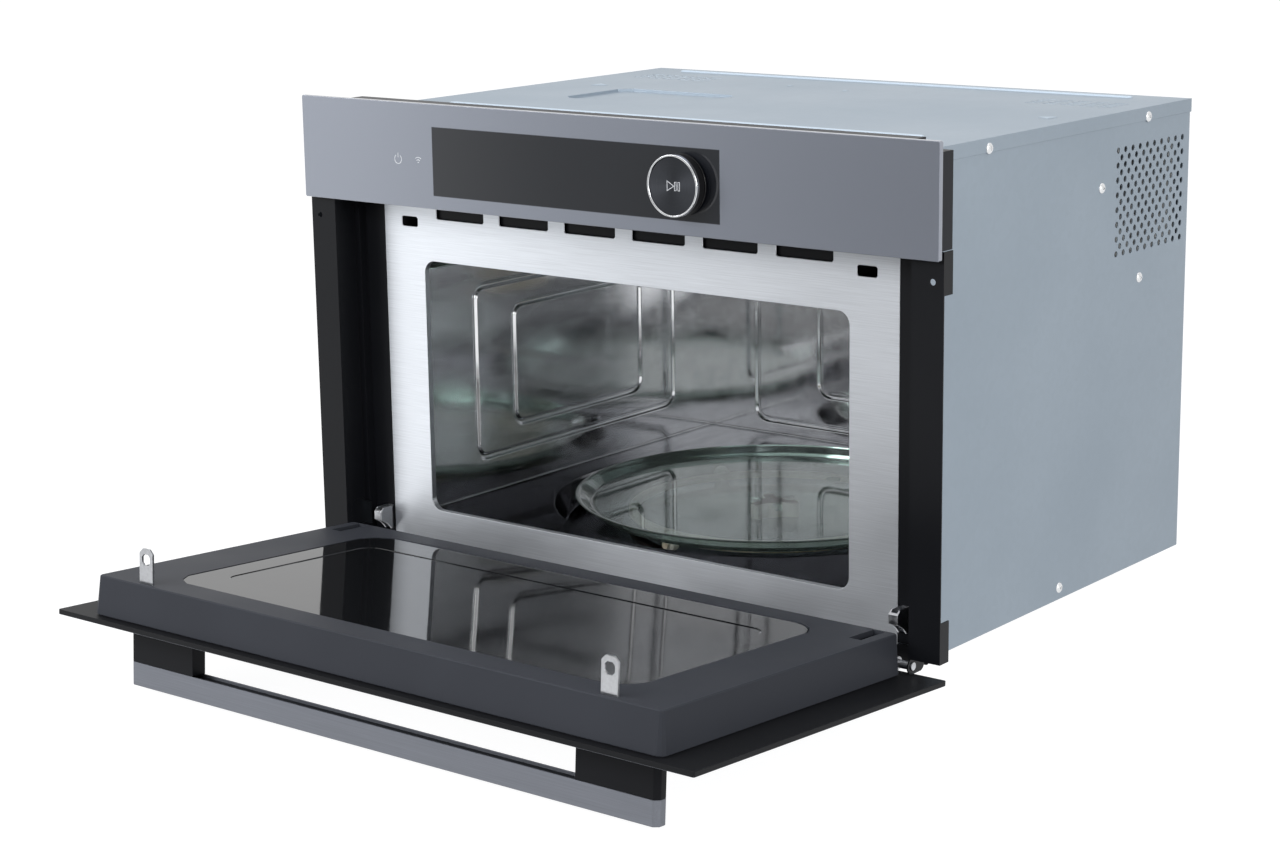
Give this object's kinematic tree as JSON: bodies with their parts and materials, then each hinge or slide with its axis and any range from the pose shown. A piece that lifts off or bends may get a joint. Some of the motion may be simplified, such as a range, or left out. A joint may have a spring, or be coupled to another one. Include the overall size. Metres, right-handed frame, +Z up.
{
  "type": "built-in microwave oven",
  "caption": "Built-in microwave oven with a drop-down glass door, bar handle, control panel with a rotary knob, steel cavity with glass turntable, and side trims for a cabinet niche.",
  "frame": {"origin": "centre of the body's footprint on the plane of its base", "axes": "+X to the right seen from the front, +Y from the front to the rear, +Z up"},
  "size_m": [0.595, 0.7087, 0.4148],
  "materials": {
    "casing_steel": "bare galvanised sheet, soft sheen",
    "casing_screw": "zinc-plated",
    "face_steel": "fine brushed stainless steel",
    "cavity_steel": "polished stainless steel",
    "plated_sheet": "zinc-plated sheet",
    "mica": "mica sheet, satin",
    "transformer_iron": "lacquered laminations and windings",
    "can_aluminium": "drawn can",
    "component_black": "moulded, matt",
    "housing_white": "moulded, matt",
    "fan_plastic": "moulded, matt",
    "board_green": "lacquered circuit board",
    "lamp_hood": "plain sheet",
    "lamp_glass": "clear bulb",
    "trim_steel": "satin black coat",
    "hinge_steel": "zinc-plated",
    "door_front_glass": "printed glass, polished",
    "door_box": "satin dark grey",
    "door_inner": "printed border, clear window",
    "screen_steel": "perforated sheet, satin black",
    "handle_black": "moulded, satin",
    "handle_metal": "brushed, anodised",
    "control_glass": "metallic back print, polished",
    "carrier_plastic": "moulded, satin",
    "knob_black": "gloss",
    "knob_chrome": "polished",
    "knob_face": "spun, satin black",
    "shaft_brass": "turned",
    "tray_glass": "clear, pale green",
    "coupler_plastic": "moulded, matt",
    "ring_plastic": "amber moulding",
    "roller_plastic": "moulded, satin"
  },
  "bodies": {
    "cabinet": {"base_plate": "casing_steel", "side_panel_left": "casing_steel", "side_panel_right": "casing_steel", "rear_panel": "casing_steel", "top_cover": "casing_steel", "casing_screws": "casing_screw", "face_plate": "face_steel", "cavity_wrap": "cavity_steel", "cavity_back": "cavity_steel", "cavity_floor": "cavity_steel", "cavity_rails": "plated_sheet", "waveguide": "plated_sheet", "fan_motor": "plated_sheet", "magnetron": "plated_sheet", "waveguide_cover": "mica", "hv_transformer": "transformer_iron", "hv_capacitor": "can_aluminium", "hv_diode": "component_black", "thermostats": "component_black", "interlock_switches": "component_black", "encoder_body": "component_black", "turntable_motor": "component_black", "cord_gland": "component_black", "fan_housing": "housing_white", "air_duct": "housing_white", "interlock_housings": "housing_white", "filter_board": "board_green", "control_board": "board_green", "lamp_housing": "lamp_hood", "lamp": "lamp_glass", "trim_left": "trim_steel", "trim_right": "trim_steel", "hinge_brackets": "hinge_steel", "panel_glass": "control_glass", "panel_carrier": "carrier_plastic", "display_module": "carrier_plastic"},
    "door": {"door_glass": "door_front_glass", "door_frame": "door_box", "door_screen": "screen_steel", "door_inner_glass": "door_inner", "hinge_arms": "hinge_steel", "latch_hooks": "hinge_steel", "handle_core": "handle_black", "handle_channel": "handle_metal"},
    "turntable": {"glass_turntable": "tray_glass", "turntable_coupler": "coupler_plastic"},
    "roller_carrier": {"roller_ring": "ring_plastic"},
    "roller_a": {"roller_1": "roller_plastic"},
    "roller_b": {"roller_2": "roller_plastic"},
    "roller_c": {"roller_3": "roller_plastic"},
    "fan": {"fan_wheel": "fan_plastic"},
    "dial": {"encoder_rotor": "shaft_brass"},
    "knob": {"knob_body": "knob_black", "knob_ring": "knob_chrome", "knob_disc": "knob_face", "encoder_shaft": "shaft_brass"},
    "latch_lever_left": {"interlock_lever_left": "housing_white"},
    "latch_lever_right": {"interlock_lever_right": "housing_white"}
  },
  "joints": [
    {"name": "door_hinge", "type": "hinge", "parent": "cabinet", "child": "door", "pos_m": [0, -0.2193, 0.0059], "axis": [1, 0, 0], "range_deg": [-86.2, 0]},
    {"name": "turntable_spin", "type": "hinge", "parent": "cabinet", "child": "turntable", "pos_m": [0, -0.0045, 0.0366], "axis": [0, 0, 1], "continuous": true},
    {"name": "roller_ring_spin", "type": "hinge", "parent": "cabinet", "child": "roller_carrier", "pos_m": [0, -0.0045, 0.0303], "axis": [0, 0, 1], "continuous": true},
    {"name": "roller_a_spin", "type": "hinge", "parent": "roller_carrier", "child": "roller_a", "pos_m": [0.11325, 0.05074, 0.0303], "axis": [0.8988, 0.4384, 0], "continuous": true},
    {"name": "roller_b_spin", "type": "hinge", "parent": "roller_carrier", "child": "roller_b", "pos_m": [-0.10446, 0.06596, 0.0303], "axis": [-0.829, 0.5592, 0], "continuous": true},
    {"name": "roller_c_spin", "type": "hinge", "parent": "roller_carrier", "child": "roller_c", "pos_m": [-0.00879, -0.13019, 0.0303], "axis": [-0.0698, -0.9976, 0], "continuous": true},
    {"name": "fan_spin", "type": "hinge", "parent": "cabinet", "child": "fan", "pos_m": [0.2444, 0.13, 0.303], "axis": [1, 0, 0], "continuous": true},
    {"name": "dial_turn", "type": "hinge", "parent": "cabinet", "child": "dial", "pos_m": [0.083, -0.22, 0.3325], "axis": [0, -1, 0], "continuous": true},
    {"name": "knob_press", "type": "slide", "parent": "dial", "child": "knob", "axis": [0, 1, 0], "range_m": [0, 0.0012], "stiffness_N_per_m": 800},
    {"name": "lever_left_lift", "type": "hinge", "parent": "cabinet", "child": "latch_lever_left", "pos_m": [-0.2175, -0.15, 0.291], "axis": [-1, 0, 0], "range_deg": [0, 6], "stiffness_Nm_per_rad": 0.02, "springref_deg": -5.73},
    {"name": "lever_right_lift", "type": "hinge", "parent": "cabinet", "child": "latch_lever_right", "pos_m": [0.2175, -0.15, 0.291], "axis": [-1, 0, 0], "range_deg": [0, 6], "stiffness_Nm_per_rad": 0.02, "springref_deg": -5.73}
  ],
  "couplings": [
    {"joint": "roller_ring_spin", "follows": "turntable_spin", "ratio": 0.5},
    {"joint": "roller_a_spin", "follows": "turntable_spin", "ratio": -10.5},
    {"joint": "roller_b_spin", "follows": "turntable_spin", "ratio": -10.5},
    {"joint": "roller_c_spin", "follows": "turntable_spin", "ratio": -10.5}
  ]
}
